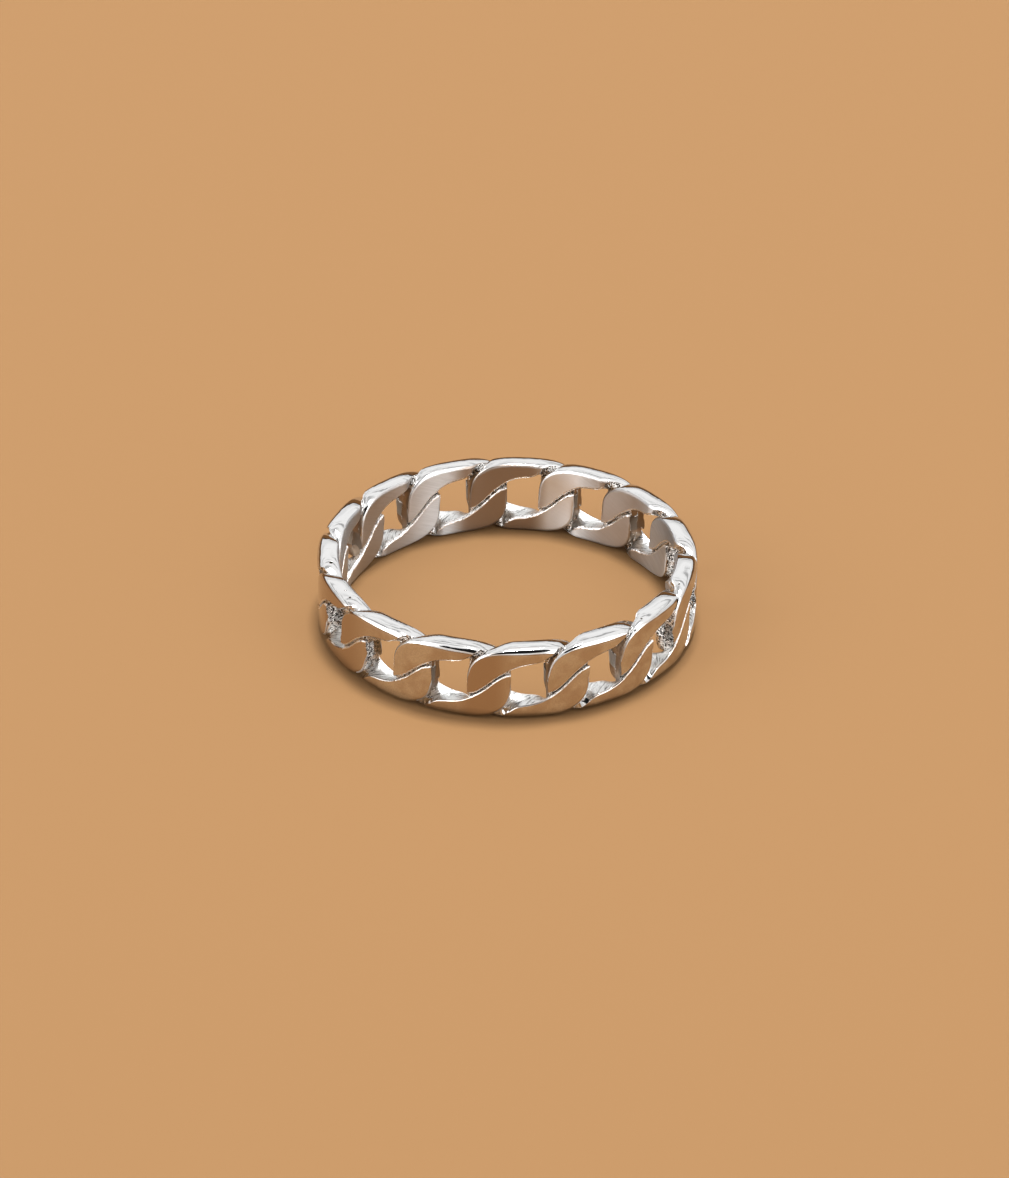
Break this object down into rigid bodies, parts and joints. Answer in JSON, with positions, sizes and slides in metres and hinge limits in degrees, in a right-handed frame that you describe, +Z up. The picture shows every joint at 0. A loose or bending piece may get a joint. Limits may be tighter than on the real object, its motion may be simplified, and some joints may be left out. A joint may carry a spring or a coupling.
{
  "type": "curb link band finger ring",
  "caption": "Rigid silver finger ring cast as a closed band of interlocked flat curb links, pierced through each link.",
  "frame": {"origin": "middle of the plane that the band's lower edge rests on, on the axis of the finger hollow", "axes": "+Z up along the finger hollow, the front of the picture towards -Y, +X to its right"},
  "size_m": [0.021, 0.021, 0.0044],
  "materials": {
    "polished_silver": "mirror polished outside, satin inside"
  },
  "bodies": {
    "root": {"curb_link_band": "polished_silver"}
  },
  "joints": []
}
